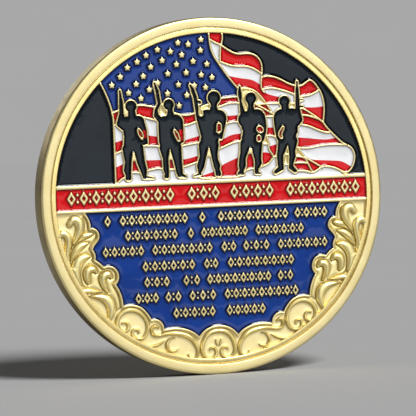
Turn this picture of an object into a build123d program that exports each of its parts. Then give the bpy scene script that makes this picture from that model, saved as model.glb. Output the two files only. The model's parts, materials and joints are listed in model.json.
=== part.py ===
from build123d import *

import os
from math import acos, atan2, cos, hypot, pi, sin

# Challenge coin: a struck, gold plated blank whose sunken cells hold cured soft enamel.
# The coin stands on its edge. Its axis is Y, the obverse looks toward -Y and +Z is up.
# Artwork is drawn flat, as (x, z) in millimetres from the centre, and then raised or sunk.

# Driving dimensions, mm
COIN_DIAMETER = 40.0
COIN_THICKNESS = 3.0
EDGE_ROUNDING = 0.35
RIM_INNER = 18.88  # inner radius of the flat matt rim
LEDGE_INNER = 18.78  # the fine groove between the rim and the polished ring starts here
RING_INNER = 18.25  # inner radius of the polished ring, where the enamel starts
WALL = 0.20  # width of the raised lines between two colours
OUTLINE = 0.17  # width of the raised line around each figure
SEAM = 0.03  # hidden boundary where white enamel laps over the line below it
BORDER = 0.20  # raised line around the lower field
GROOVE = 0.09  # between that line and the scrolls

# Heights above the mid-plane of the coin, the same on both faces
RIM_TOP = COIN_THICKNESS / 2
WALL_TOP = RIM_TOP - 0.15
LEDGE_TOP = RIM_TOP - 0.30
ENAMEL_TOP = RIM_TOP - 0.35
FIELD = RIM_TOP - 0.55
POCKET_FLOOR = RIM_TOP - 0.70
BARE_FLOOR = ENAMEL_TOP - 0.10  # metal floor of a cell with no enamel
SCROLL_TOP = WALL_TOP - 0.02
SCROLL_STEP = 0.03  # a stroke is this much lower than the one on top of it
SCROLL_GROUND_TOP = FIELD + 0.15

# Layout of the obverse
BANNER_TOP = 1.42
BANNER_BOTTOM = -0.95
SCENE_BOTTOM = 1.80  # where the enamel above the banner starts
LOWER_TOP = -1.25  # where the enamel below the banner starts
TOUCHING = 0.001  # two faces nearer than this share a border

FRONT = Plane.XZ
BACK = Plane(origin=(0, 0, 0), x_dir=(-1, 0, 0), z_dir=(0, 1, 0))


# Drawing helpers. Each returns one flat face, which a sketch then adds or takes away.


def side(path, widths, sign):
    """The points half a width to one side of a path."""
    shifted = []
    last = len(path) - 1
    for i, (x, z) in enumerate(path):
        x_before, z_before = path[max(i - 1, 0)]
        x_after, z_after = path[min(i + 1, last)]
        step = sign * widths[i] / 2 / hypot(x_after - x_before, z_after - z_before)
        shifted.append((x - (z_after - z_before) * step, z + (x_after - x_before) * step))
    return shifted


def smooth(points):
    """A line through two points, or a spline through more."""
    if len(points) == 2:
        Line(*points)
    else:
        Spline(*points)


def ribbon(path, widths):
    """A closed face along a smooth path, as wide at each point as the list says."""
    left = side(path, widths, 1)
    right = side(path, widths, -1)[::-1]
    with BuildLine() as edge:
        smooth(left)
        Line(left[-1], right[0])
        smooth(right)
        Line(right[-1], left[0])
    return make_face(edge.edges(), mode=Mode.PRIVATE)


def stroke(points):
    """A ribbon from (x, z, width) points."""
    return ribbon([(x, z) for x, z, width in points], [width for x, z, width in points])


def line(path, width=WALL):
    """A raised line of one width."""
    return ribbon(path, [width] * len(path))


def capsule(start, end, grow):
    """Two circles and the two straight lines that touch both, each circle grown by the same amount."""
    (xa, za, ra), (xb, zb, rb) = start, end
    ra += grow
    rb += grow
    along = atan2(zb - za, xb - xa)
    lean = acos((ra - rb) / hypot(xb - xa, zb - za))
    upper = (cos(along + lean), sin(along + lean))
    lower = (cos(along - lean), sin(along - lean))
    ahead = (cos(along), sin(along))
    a_upper = (xa + ra * upper[0], za + ra * upper[1])
    a_lower = (xa + ra * lower[0], za + ra * lower[1])
    b_upper = (xb + rb * upper[0], zb + rb * upper[1])
    b_lower = (xb + rb * lower[0], zb + rb * lower[1])
    with BuildLine() as edge:
        Line(a_upper, b_upper)
        ThreePointArc(b_upper, (xb + rb * ahead[0], zb + rb * ahead[1]), b_lower)
        Line(b_lower, a_lower)
        ThreePointArc(a_lower, (xa - ra * ahead[0], za - ra * ahead[1]), a_upper)
    return make_face(edge.edges(), mode=Mode.PRIVATE)


def star(x, z, radius, waist, turn=90):
    """A five-pointed star whose inner corners are at waist times its radius."""
    corners = []
    for i in range(10):
        reach = radius if i % 2 == 0 else radius * waist
        angle = (turn + 36 * i) * pi / 180
        corners.append((x + reach * cos(angle), z + reach * sin(angle)))
    with BuildLine() as edge:
        Polyline(*corners, close=True)
    return make_face(edge.edges(), mode=Mode.PRIVATE)


def half_disc(radius, bottom, top):
    """The part of a disc between two heights."""
    Circle(radius)
    with Locations((0, (bottom + top) / 2)):
        Rectangle(2 * radius, top - bottom, mode=Mode.INTERSECT)


# The five marching figures: faceless silhouettes, each a few chains of (x, z, radius) joints.

FIGURES = [
    {
        "head": (-9.30, 10.32, 0.62),
        "chains": [
            [(-9.25, 10.0, 0.36), (-9.2, 9.2, 0.45)],
            [(-10.52, 12.05, 0.08), (-10.46, 11.3, 0.14), (-10.42, 10.86, 0.2), (-10.42, 9.3, 0.24)],
            [(-10.42, 9.3, 0.3), (-10.52, 8.45, 0.46), (-10.0, 8.2, 0.6)],
            [(-9.9, 8.5, 0.7), (-8.5, 8.55, 0.68)],
            [(-9.45, 8.2, 0.88), (-9.3, 7.0, 0.88), (-9.25, 6.2, 1.0)],
            [(-8.4, 8.6, 0.55), (-7.9, 7.6, 0.32), (-7.73, 6.25, 0.21), (-8.5, 6.25, 0.4)],
            [(-9.83, 5.6, 0.6), (-9.83, 4.15, 0.36), (-9.94, 3.3, 0.42), (-9.86, 2.7, 0.28)],
            [(-9.86, 2.7, 0.28), (-9.87, 2.43, 0.32)],
            [(-8.62, 5.7, 0.56), (-8.38, 4.2, 0.45), (-8.1, 3.25, 0.38), (-8.0, 2.4, 0.18)],
            [(-8.0, 2.45, 0.14), (-7.0, 2.27, 0.06)],
        ],
        "gaps": [[(-8.5, 7.68, 0.22), (-8.3, 7.25, 0.33), (-8.16, 6.9, 0.24)]],
    },
    {
        "head": (-4.93, 10.37, 0.58),
        "chains": [
            [(-4.85, 10.1, 0.35), (-4.78, 9.7, 0.26), (-4.75, 9.0, 0.45)],
            [(-6.5, 12.8, 0.08), (-6.22, 11.9, 0.18), (-6.02, 10.5, 0.16)],
            [(-6.02, 10.5, 0.16), (-6.42, 9.8, 0.16), (-6.4, 9.2, 0.26), (-5.9, 8.6, 0.3)],
            [(-5.5, 8.4, 0.68), (-4.2, 8.35, 0.86)],
            [(-5.3, 8.0, 0.9), (-5.22, 6.35, 0.96), (-4.65, 6.3, 0.92)],
            [(-4.1, 8.3, 0.75), (-3.68, 7.5, 0.36), (-3.55, 6.3, 0.22), (-4.4, 6.0, 0.4)],
            [(-5.55, 5.6, 0.6), (-5.5, 4.4, 0.31), (-5.48, 3.2, 0.31), (-5.4, 2.7, 0.22)],
            [(-5.4, 2.7, 0.2), (-5.46, 2.42, 0.26)],
            [(-4.3, 5.6, 0.66), (-4.1, 4.2, 0.47), (-3.93, 2.8, 0.36)],
            [(-3.9, 2.5, 0.26), (-3.3, 2.32, 0.14)],
        ],
        "gaps": [[(-4.33, 7.42, 0.22), (-4.12, 7.0, 0.31), (-3.9, 6.42, 0.24)]],
    },
    {
        "head": (0.38, 10.96, 0.72),
        "chains": [
            [(0.36, 10.4, 0.4), (0.34, 10.1, 0.3), (0.3, 9.3, 0.55)],
            [(-2.34, 12.45, 0.08), (-2.1, 12.0, 0.16), (-2.06, 11.85, 0.2), (-1.82, 11.1, 0.2)],
            [(-1.82, 11.1, 0.19), (-1.68, 9.9, 0.19), (-1.5, 8.6, 0.22)],
            [(-1.6, 10.52, 0.2), (-1.33, 10.5, 0.17)],
            [(-0.85, 8.7, 0.85), (0.85, 8.7, 0.88)],
            [(-0.5, 8.5, 1.15), (-0.4, 6.7, 0.82), (-0.55, 6.2, 0.8), (0.05, 6.25, 0.68)],
            [(1.05, 8.6, 0.7), (1.27, 7.5, 0.22), (1.0, 6.5, 0.2), (0.3, 6.7, 0.45)],
            [(-1.0, 5.7, 0.58), (-1.12, 4.5, 0.37), (-1.45, 3.4, 0.41), (-1.56, 2.7, 0.17)],
            [(-1.55, 2.5, 0.14), (-2.2, 2.32, 0.06)],
            [(0.18, 5.7, 0.56), (0.2, 4.7, 0.37), (0.28, 4.0, 0.33), (0.46, 3.4, 0.38)],
            [(0.46, 3.4, 0.38), (0.5, 2.95, 0.25), (0.6, 2.45, 0.3)],
        ],
        "gaps": [
            [(0.88, 7.85, 0.34), (0.88, 7.35, 0.34)],
            [(-1.24, 9.8, 0.26), (-1.2, 9.2, 0.3)],
        ],
    },
    {
        "head": (4.73, 10.78, 0.63),
        "chains": [
            [(4.7, 10.3, 0.38), (4.7, 9.9, 0.28), (4.7, 9.1, 0.5)],
            [(3.45, 12.1, 0.06), (3.43, 11.6, 0.16), (3.46, 11.2, 0.21), (3.5, 10.5, 0.11)],
            [(3.5, 10.5, 0.11), (3.6, 9.8, 0.19), (3.75, 9.0, 0.3)],
            [(4.07, 8.4, 0.9), (5.35, 8.5, 1.0)],
            [(4.6, 8.2, 1.2), (4.66, 7.1, 0.95), (4.6, 6.25, 1.08)],
            [(5.5, 8.3, 0.9), (6.08, 7.6, 0.38), (6.0, 7.0, 0.4), (5.75, 6.2, 0.4)],
            [(3.92, 5.7, 0.6), (3.72, 4.8, 0.43), (3.5, 4.05, 0.37), (3.45, 3.3, 0.41)],
            [(3.45, 3.3, 0.4), (3.36, 2.65, 0.22), (3.05, 2.38, 0.16)],
            [(3.3, 2.4, 0.16), (3.48, 2.38, 0.16)],
            [(5.28, 5.7, 0.62), (5.25, 4.6, 0.5), (5.33, 4.0, 0.38), (5.36, 3.5, 0.4)],
            [(5.36, 3.5, 0.39), (5.16, 2.9, 0.23), (5.1, 2.42, 0.18), (5.45, 2.32, 0.1)],
        ],
        "gaps": [
            [(5.64, 7.3, 0.42), (5.76, 7.2, 0.42)],
            [(5.53, 6.35, 0.32), (5.53, 6.12, 0.33)],
        ],
    },
    {
        "head": (8.71, 10.3, 0.6),
        "chains": [
            [(8.75, 10.0, 0.4), (8.8, 9.2, 0.45)],
            [(10.28, 12.45, 0.07), (10.28, 11.9, 0.1), (10.27, 11.5, 0.17), (10.27, 10.5, 0.21)],
            [(10.27, 10.5, 0.21), (10.26, 9.6, 0.24), (10.3, 8.8, 0.35), (10.33, 8.2, 0.45)],
            [(10.3, 10.4, 0.06), (10.85, 10.4, 0.06)],
            [(10.3, 9.62, 0.12), (10.85, 9.62, 0.09)],
            [(8.4, 8.4, 1.03), (9.6, 8.35, 1.1)],
            [(8.6, 8.0, 1.2), (8.78, 6.6, 1.2)],
            [(9.7, 7.6, 0.5), (9.75, 6.9, 0.42)],
            [(8.45, 5.8, 0.62), (8.15, 4.75, 0.45), (7.98, 4.25, 0.37), (8.0, 3.4, 0.34)],
            [(8.0, 3.4, 0.34), (8.05, 2.8, 0.3), (7.4, 2.38, 0.2)],
            [(9.5, 5.8, 0.6), (9.43, 4.7, 0.36), (9.46, 4.1, 0.37), (9.28, 3.3, 0.24)],
            [(9.28, 3.3, 0.24), (9.25, 2.85, 0.26), (9.72, 2.42, 0.2)],
        ],
        "gaps": [[(8.45, 7.35, 0.22), (8.12, 6.8, 0.28), (8.08, 6.5, 0.27), (8.22, 6.25, 0.22)]],
    },
]

# Raised lines of the flag, as smooth paths. Each runs a little way into what it ends on.

HOIST_LINES = [
    [(-13.1, 13.6), (-12.7, 12.95), (-11.87, 11.1), (-11.5, 9.8), (-11.35, 8.2)],
    [(-11.35, 8.3), (-11.35, 1.7)],
    [(-11.6, 9.6), (-10.5, 10.0)],
    [(-11.4, 8.3), (-10.7, 8.4)],
    [(-11.4, 5.1), (-10.2, 5.55)],
    [(-11.3, 1.75), (-10.85, 2.15), (-10.45, 2.4), (-10.05, 2.5)],
]
GAP_12_LINES = [
    [(-8.8, 10.35), (-8.2, 10.42), (-7.4, 10.32), (-6.45, 10.15)],
    [(-8.1, 9.1), (-7.4, 8.95), (-6.9, 8.8), (-6.1, 8.62)],
    [(-8.0, 5.88), (-7.2, 5.88), (-6.7, 5.85), (-6.0, 5.65)],
    [(-7.9, 3.05), (-7.2, 3.22), (-6.5, 3.33), (-5.6, 3.15)],
]
GAP_23_LINES = [
    [(-4.3, 9.45), (-3.4, 9.17), (-2.7, 9.15), (-1.7, 9.42)],
    [(-3.5, 8.02), (-2.8, 8.05), (-2.3, 8.2), (-1.6, 8.42)],
    [(-3.9, 5.62), (-3.1, 5.8), (-2.4, 5.92), (-1.4, 6.02)],
    [(-3.8, 3.32), (-3.0, 3.5), (-2.4, 3.68), (-1.4, 3.95)],
]
GAP_34_LINES = [
    [(1.0, 10.9), (2.0, 10.95), (2.7, 11.0), (3.5, 10.9)],
    [(0.7, 9.9), (1.3, 10.05), (1.9, 10.25), (2.6, 10.33), (3.5, 10.2)],
    [(1.5, 7.88), (2.1, 8.12), (2.6, 8.2), (3.4, 8.08)],
    [(0.6, 5.15), (1.4, 5.48), (2.2, 5.78), (3.5, 6.0)],
]
SHOULDER_LINES = [
    [(-6.0, 10.42), (-5.3, 10.38)],
    [(-1.3, 9.9), (-0.6, 10.15), (0.15, 10.35)],
]
GROUND_LINES = [
    [(-1.8, 2.16), (-1.2, 2.02), (0.4, 2.02)],
    [(0.7, 2.02), (3.1, 2.02)],
]
LEG_LINES = [
    [(-9.6, 4.35), (-8.7, 4.35)],
    [(-9.7, 2.93), (-9.0, 2.98), (-8.2, 2.8)],
    [(-5.4, 4.3), (-4.5, 4.3)],
    [(-5.4, 3.15), (-4.3, 3.15)],
    [(-0.95, 4.45), (0.1, 4.45)],
    [(3.7, 2.6), (4.2, 2.8), (5.1, 2.85)],
    [(4.0, 4.62), (5.0, 4.62)],
    [(8.3, 4.3), (9.2, 4.3)],
    [(8.2, 3.15), (9.1, 3.15)],
]
GAP_45_LINES = [
    [(3.6, 11.92), (4.5, 11.87), (5.2, 11.6), (5.8, 11.1), (6.35, 10.4), (6.9, 9.6), (7.3, 8.9)],
    [(5.0, 10.12), (6.0, 10.08), (7.0, 10.12), (8.3, 10.08)],
    [(5.3, 10.05), (6.2, 9.6), (7.3, 8.9)],
    [(6.3, 8.65), (7.5, 8.65)],
    [(6.2, 6.4), (6.8, 6.5), (7.5, 6.35)],
    [(6.5, 6.45), (6.72, 5.55)],
    [(5.8, 5.62), (6.72, 5.55)],
    [(6.72, 5.55), (6.76, 4.9), (7.05, 4.4), (7.22, 3.95)],
    [(5.6, 3.0), (6.2, 3.2), (6.7, 3.5), (7.05, 3.9), (7.3, 4.1), (7.8, 4.05)],
]
FLY_LINES = [
    [(0.02, 18.5), (0.1, 17.3), (0.36, 16.06), (1.15, 14.7), (2.15, 13.27), (3.35, 11.85)],
    [(1.45, 18.5), (1.62, 17.85), (1.56, 17.3), (1.42, 16.75)],
    [(0.0, 17.6), (0.75, 17.15), (1.45, 16.8), (2.15, 16.33), (2.85, 15.95), (3.6, 15.77)],
    [(3.6, 15.77), (4.3, 15.83), (5.0, 15.75), (5.6, 15.45), (6.0, 14.95), (6.17, 14.3)],
    [(6.17, 14.3), (6.12, 13.4), (6.02, 12.5), (6.07, 11.8), (6.45, 11.35)],
    [(1.38, 16.85), (1.3, 15.9), (1.25, 14.8)],
    [(1.15, 15.05), (2.1, 14.65), (3.0, 14.43), (4.1, 14.4), (5.0, 14.18), (5.7, 13.8), (6.2, 13.4)],
    [(6.1, 13.05), (6.6, 13.2), (7.3, 13.15), (8.0, 12.95), (8.7, 12.6), (9.4, 12.25), (10.2, 12.0)],
    [(6.05, 11.65), (6.6, 11.82), (7.3, 11.85), (8.0, 11.72), (9.0, 11.42), (10.1, 11.0)],
    [(9.1, 10.05), (10.1, 10.05)],
    [(10.4, 11.98), (11.0, 12.12), (11.4, 12.38), (11.85, 12.6), (12.25, 12.4), (12.7, 11.85)],
    [(12.7, 11.85), (13.1, 11.2), (13.38, 10.3), (13.45, 9.3), (13.35, 8.3), (13.28, 7.8)],
    [(13.28, 7.8), (13.7, 7.2), (14.3, 6.55), (14.9, 5.95), (15.5, 5.42), (16.1, 5.07)],
    [(16.1, 5.07), (16.6, 4.75), (16.9, 4.2), (16.93, 3.5), (16.72, 2.8), (16.35, 2.25)],
    [(16.35, 2.25), (15.85, 2.02), (15.3, 2.2), (14.7, 2.5), (14.0, 2.72), (13.3, 2.8)],
    [(13.3, 2.8), (12.7, 2.6), (12.2, 2.3), (11.75, 2.15), (11.2, 2.3), (10.6, 2.4), (9.8, 2.3)],
    [(15.2, 2.2), (15.6, 1.9), (16.2, 1.72)],
    [(10.3, 10.72), (11.2, 10.83), (11.8, 10.93), (12.3, 11.12), (13.0, 11.5)],
    [(10.7, 9.5), (11.4, 9.15), (12.0, 8.75), (12.7, 8.25), (13.35, 7.72)],
    [(10.6, 8.72), (11.3, 8.63), (12.0, 8.45), (12.75, 8.15)],
    [(10.2, 7.65), (11.0, 7.55), (11.6, 7.4), (12.3, 7.1), (13.0, 6.8), (14.1, 6.62)],
    [(9.9, 5.1), (10.8, 4.95), (11.6, 4.95), (12.5, 5.1), (13.5, 5.2), (14.5, 5.22), (15.9, 5.12)],
    [(10.1, 5.1), (10.45, 4.6), (10.9, 3.95), (11.3, 3.2), (11.85, 2.15)],
    [(10.95, 3.9), (11.9, 3.35), (13.1, 2.6)],
    [(9.7, 4.05), (10.4, 4.0), (11.0, 3.8)],
    [(9.4, 3.28), (10.4, 3.32), (11.35, 3.22)],
]

FLAG_LINES = HOIST_LINES + GAP_12_LINES + GAP_23_LINES + GAP_34_LINES + GAP_45_LINES + FLY_LINES
FLAG_LINES += SHOULDER_LINES + GROUND_LINES + LEG_LINES

# Where white enamel laps over the line below it, down to the red, no metal shows.
WHITE_OVER_RED = [
    [(-11.4, 6.35), (-10.2, 6.7)],
    [(-11.4, 3.6), (-10.1, 4.1)],
    [(-7.7, 7.1), (-6.9, 6.98), (-6.0, 6.82)],
    [(-8.0, 4.3), (-5.7, 4.27)],
    [(-3.5, 6.1), (-2.9, 6.42), (-2.1, 6.62), (-1.1, 7.0)],
    [(-3.8, 4.2), (-2.8, 4.32), (-2.2, 4.45), (-1.3, 4.7)],
    [(-1.35, 2.3), (0.3, 2.78)],
    [(1.5, 8.85), (2.4, 8.93), (3.4, 8.93)],
    [(0.6, 6.05), (1.4, 6.35), (2.2, 6.7), (3.0, 6.85), (3.9, 6.85)],
    [(0.6, 3.1), (1.3, 3.5), (2.1, 3.85), (3.3, 4.3)],
    [(6.2, 7.43), (7.5, 7.43)],
    [(5.6, 4.6), (6.4, 4.64), (7.0, 4.45)],
    [(6.6, 5.25), (7.9, 5.6)],
    [(1.9, 13.45), (3.0, 13.22), (4.15, 13.0), (4.9, 12.88), (5.5, 12.6), (6.1, 12.1)],
    [(6.35, 11.4), (7.15, 11.1), (8.3, 10.8)],
    [(10.6, 9.62), (11.5, 9.55), (12.3, 9.52), (13.5, 9.65)],
    [(10.0, 6.2), (11.0, 6.12), (12.0, 6.0), (13.0, 5.87), (13.8, 5.85), (14.9, 6.02)],
    [(11.0, 3.88), (12.0, 3.6), (13.2, 3.5), (14.5, 3.4), (15.4, 3.28), (16.0, 3.0), (16.6, 2.6)],
]

# One point inside every cell of a colour, by the piece that fills it.
DARK_CELLS = {
    "enamel_field_left": [(-14.0, 8.0)],
    "enamel_field_right": [(14.5, 9.0)],
}
BLUE_CELLS = {
    "enamel_canton": [(-7.0, 11.5)],
}
RED_CELLS = {
    "enamel_red_hoist": [(-11.15, 9.1), (-10.9, 5.9), (-10.9, 2.9)],
    "enamel_red_gap_1_2": [(-7.6, 9.9), (-6.9, 6.4), (-6.9, 3.8)],
    "enamel_red_gap_2_3": [(-2.6, 8.6), (-2.2, 6.3), (-2.6, 4.0), (-0.4, 2.4)],
    "enamel_red_gap_3_4": [(2.2, 10.6), (2.4, 8.5), (2.2, 6.3), (2.0, 2.9)],
    "enamel_red_gap_4_5": [(6.0, 9.85), (6.31, 9.25), (6.85, 7.0), (7.2, 5.0), (6.3, 4.0)],
    "enamel_red_legs": [(-9.05, 3.6), (-4.85, 3.7), (4.4, 3.7)],
    "enamel_red_arms": [(-8.3, 7.25), (-4.1, 7.0), (0.88, 7.6), (5.7, 7.25), (5.53, 6.24), (8.12, 6.7)],
    "enamel_red_fly_top": [(0.8, 17.8), (3.5, 15.0), (4.5, 12.4), (7.2, 12.5)],
    "enamel_red_fly_side": [(11.8, 11.7), (12.8, 9.1), (11.1, 8.95), (11.9, 7.8), (12.0, 5.5)],
    "enamel_red_fly_bottom": [(14.5, 3.0), (11.8, 2.9), (10.4, 3.65), (10.5, 2.8)],
}
WHITE_CELLS = {
    "enamel_white_hoist": [(-11.0, 7.2), (-10.9, 4.6)],
    "enamel_white_gap_1_2": [(-6.9, 7.9), (-6.9, 5.0)],
    "enamel_white_gap_2_3": [(-2.5, 7.3), (-2.6, 5.1), (-0.4, 3.4)],
    "enamel_white_gap_3_4": [(2.4, 9.6), (2.4, 7.5), (2.0, 4.7)],
    "enamel_white_gap_4_5": [(7.4, 9.7), (6.85, 8.1), (7.1, 6.0), (6.3, 5.1)],
    "enamel_white_fly_top": [(0.7, 16.3), (4.0, 13.7), (8.0, 11.4)],
    "enamel_white_fly_side": [(12.2, 10.3), (12.0, 6.6), (14.0, 4.3)],
    "enamel_white_ground": [(-7.0, 2.8)],
}
# Left, bottom, right and top of two places where red has run over the black of a forearm.
RED_SPILLS = [(-8.05, 6.75, -7.3, 7.6), (-3.75, 6.3, -3.1, 7.55)]
# Cells that the enameller left empty: bare metal, a little lower than the lines around them.
BARE_CELLS = [
    (-5.7, 9.7), (-1.22, 9.5), (3.95, 11.0), (6.3, 6.0), (10.35, 4.45), (8.7, 3.7), (8.85, 4.75),
    (9.6, 9.8),
]  # fmt: skip

STARS = [
    (-0.9, 17.5), (-3.6, 17.2), (-2.4, 17.0), (-1.0, 16.3), (-6.0, 16.5), (-4.5, 16.25), (-3.2, 15.85),
    (-7.35, 15.9), (-5.5, 15.3), (-8.4, 15.2), (-9.55, 14.6), (-6.85, 14.6), (-3.85, 14.8),
    (-1.9, 15.1), (-0.3, 14.75), (-10.4, 13.6), (-7.75, 13.6), (-4.9, 13.8), (-2.75, 13.85),
    (-1.0, 13.55), (0.25, 13.25), (-11.4, 12.7), (-8.6, 12.75), (-6.1, 12.8), (-3.7, 12.55),
    (-1.85, 12.4), (-0.55, 12.15), (-9.5, 11.8), (-7.1, 12.1), (-5.0, 11.6), (-2.75, 11.35),
    (-8.1, 11.15), (-3.7, 10.2),
]  # fmt: skip
STAR_RADIUS = 0.39
STAR_WAIST = 0.66

# Rows of ornament: bottom and top of the row, then the left and right end of each run.
BANNER_ROW = (-0.45, 1.15, [(-17.2, -4.4), (-3.3, 0.9), (1.7, 7.3), (8.4, 17.6)])
LOWER_ROWS = [
    (-2.95, -1.70, [(-13.0, -11.9), (-11.2, -3.0), (-2.2, -0.7), (0.2, 8.9), (9.3, 13.6)]),
    (-4.65, -3.45, [(-10.7, -4.2), (-3.5, -2.2), (-1.8, 4.0), (4.6, 10.7)]),
    (-6.35, -5.15, [(-13.3, -8.2), (-7.6, -0.2), (0.5, 2.6), (3.0, 6.6), (7.2, 13.5)]),
    (-8.15, -6.95, [(-8.8, -2.3), (-1.6, 0.4), (1.2, 9.4)]),
    (-9.90, -8.70, [(-8.7, -5.3), (-4.2, -1.7), (-1.3, 6.6), (7.0, 9.3)]),
    (-11.65, -10.45, [(-9.7, -6.7), (-6.3, -4.0), (-3.5, 0.1), (0.7, 9.8)]),
    (-13.50, -12.30, [(-5.4, -0.1), (0.9, 5.8)]),
]
LOZENGE_PITCH = 0.86  # lozenge spacing as a part of the row height
LOZENGE_WIDTH = 0.64  # as a part of the row height
LOZENGE_HOLE = 0.40  # opening of a lozenge as a part of its size
BEAD_RADIUS = 0.10  # as a part of the row height

# Right half of the lower field's edge: one list for each lobe, from the banner down to the middle.
LOBES = [
    [(15.0, LOWER_TOP), (14.6, -1.9), (14.4, -2.6), (14.4, -2.95)],
    [(14.4, -2.95), (13.8, -3.1), (13.45, -3.65), (13.5, -4.2), (13.95, -4.8), (14.25, -5.35)],
    [(14.25, -5.35), (13.97, -5.9), (14.0, -6.5)],
    [(14.0, -6.5), (13.5, -6.85), (13.05, -7.3)],
    [(13.05, -7.3), (12.4, -7.2), (11.75, -7.5), (11.35, -8.3), (11.45, -8.95), (11.75, -9.35)],
    [(11.75, -9.35), (11.3, -10.1), (11.05, -10.9), (10.95, -11.75)],
    [(10.95, -11.75), (10.0, -11.65), (9.0, -11.95), (8.2, -12.7), (7.75, -13.45)],
    [(7.75, -13.45), (7.0, -13.5), (6.5, -13.95), (6.35, -14.6)],
    [(6.35, -14.6), (5.3, -14.5), (4.2, -14.6), (3.1, -15.0), (2.3, -15.65)],
    [(2.3, -15.65), (1.6, -14.95), (0.8, -14.6), (0.0, -14.5)],
]

# Right half of the acanthus scrolls: for each stroke how far down it lies, 0 on top, and its (x, z, width).
SCROLLS = [
    (0, [(16.72, -2.38, 0.75), (16.25, -1.98, 1.0), (15.68, -2.25, 1.1), (15.62, -3.0, 0.95),
         (15.95, -3.75, 0.7), (16.45, -4.7, 0.25)]),
    (1, [(18.0, -3.75, 0.7), (17.55, -3.42, 0.9), (17.05, -3.75, 0.9), (16.95, -4.5, 0.8),
         (17.12, -5.3, 0.75), (17.15, -6.2, 0.6), (16.95, -7.0, 0.4), (16.7, -7.6, 0.12)]),
    (2, [(14.3, -3.6, 0.45), (14.9, -3.75, 0.75), (15.5, -3.95, 0.65), (16.2, -4.5, 0.4),
         (16.6, -5.2, 0.1)]),
    (2, [(14.75, -4.6, 0.3), (15.3, -4.75, 0.75), (15.95, -5.2, 0.85), (16.5, -5.9, 0.5),
         (16.75, -6.5, 0.1)]),
    (1, [(14.55, -6.05, 0.3), (15.2, -6.15, 0.85), (15.9, -6.65, 1.15), (16.2, -7.5, 1.1),
         (16.05, -8.4, 0.8), (15.65, -9.2, 0.2)]),
    (0, [(13.9, -7.85, 0.35), (14.25, -7.48, 0.75), (14.85, -7.68, 0.9), (15.0, -8.4, 0.75),
         (14.72, -9.15, 0.25)]),
    (0, [(12.2, -8.52, 0.35), (12.55, -8.15, 0.8), (13.12, -8.38, 0.9), (13.18, -9.05, 0.7),
         (12.6, -10.2, 0.12)]),
    (2, [(15.45, -9.9, 0.7), (14.9, -9.87, 0.65), (14.1, -9.95, 0.35), (13.3, -10.05, 0.1)]),
    (1, [(14.8, -10.45, 0.12), (14.0, -10.52, 0.55), (13.1, -10.78, 0.95), (12.48, -11.35, 1.15),
         (12.3, -12.1, 1.0), (12.5, -12.9, 0.65), (12.85, -13.5, 0.15)]),
    (1, [(11.1, -13.65, 0.2), (10.6, -13.65, 0.28), (10.4, -14.1, 0.34), (10.75, -14.55, 0.4),
         (11.35, -14.45, 0.45), (11.7, -13.9, 0.5), (11.65, -13.2, 0.5), (11.1, -12.5, 0.52),
         (10.3, -12.2, 0.55), (9.3, -12.4, 0.55), (8.5, -13.1, 0.5), (8.2, -14.0, 0.45),
         (8.35, -14.9, 0.45), (8.9, -15.45, 0.42), (9.6, -15.4, 0.4), (10.0, -14.95, 0.34),
         (9.8, -14.45, 0.3), (9.35, -14.5, 0.26), (9.3, -14.9, 0.18)]),
    (0, [(7.0, -14.35, 0.25), (7.45, -14.2, 0.4), (7.75, -14.6, 0.4), (7.6, -15.05, 0.42),
         (7.1, -15.22, 0.42), (6.2, -15.12, 0.45), (5.2, -15.08, 0.55), (4.2, -15.25, 0.6),
         (3.2, -15.75, 0.6), (2.6, -16.6, 0.5), (2.45, -17.4, 0.42), (2.75, -17.95, 0.4),
         (3.25, -17.98, 0.34), (3.6, -17.55, 0.16)]),
    (1, [(5.1, -15.62, 0.1), (5.75, -15.8, 0.3), (6.05, -16.4, 0.38), (5.75, -17.0, 0.38),
         (5.2, -17.1, 0.3), (4.8, -16.9, 0.14)]),
    (2, [(6.3, -15.9, 0.1), (6.9, -16.2, 0.3), (7.6, -16.4, 0.32), (8.35, -16.4, 0.12)]),
    (1, [(0.0, -15.1, 0.55), (0.8, -15.22, 0.55), (1.45, -15.7, 0.52), (1.85, -16.5, 0.48),
         (1.95, -17.3, 0.45), (1.65, -17.95, 0.42), (1.0, -18.2, 0.42), (0.42, -17.9, 0.36),
         (0.32, -17.3, 0.3), (0.7, -16.98, 0.26), (1.1, -17.25, 0.16)]),
    (2, [(0.3, -16.1, 0.06), (0.22, -16.5, 0.22), (0.1, -16.8, 0.06)]),
]  # fmt: skip
# Right half of the low ground that joins the upper scrolls to the raised border.
SCROLL_GROUND = [
    (15.2, -1.7), (15.9, -2.3), (15.8, -3.2), (16.5, -4.6), (17.0, -5.0), (17.15, -6.3), (16.6, -7.5),
    (16.0, -8.7), (15.2, -9.6), (14.8, -10.1), (13.6, -10.7), (12.6, -11.2), (12.3, -12.2),
    (11.9, -12.3), (11.2, -11.9), (10.6, -11.0), (10.9, -9.0), (11.0, -7.2), (12.5, -6.6), (13.6, -6.4),
    (13.3, -4.2), (13.8, -2.9), (14.6, -1.7),
]  # fmt: skip

# Layout of the reverse
BACK_BAND_OUTER = 17.7
BACK_BAND_INNER = 13.9
BACK_FIELD_RADIUS = 13.3
BACK_BAND_STARS = 12
BACK_STAR_RADIUS = 7.2
BACK_STAR_WAIST = 0.42
BACK_BAND_STAR = 1.05
BACK_BEAD = 0.32
BACK_STAR_EDGE = 0.9
LAUREL_RADIUS = 10.5
LAUREL_START = -80.0  # degrees, where the right branch starts
LAUREL_STEP = 13.0
LAUREL_PAIRS = 12
LAUREL_LEAN = 32.0  # degrees between a leaf and its branch
LEAF = [(0.0, 0.12), (0.9, 0.75), (1.7, 0.55), (2.3, 0.08)]  # distance along a leaf, width there


def figure(body, grow):
    """One silhouette, grown by the width of its outline or not at all."""
    x, z, radius = body["head"]
    with BuildSketch() as solid:
        with Locations((x, z)):
            Circle(radius + grow)
        add(chained(body["chains"], grow))
        add(chained(body["gaps"], -grow), mode=Mode.SUBTRACT)
    return solid.sketch


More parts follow.
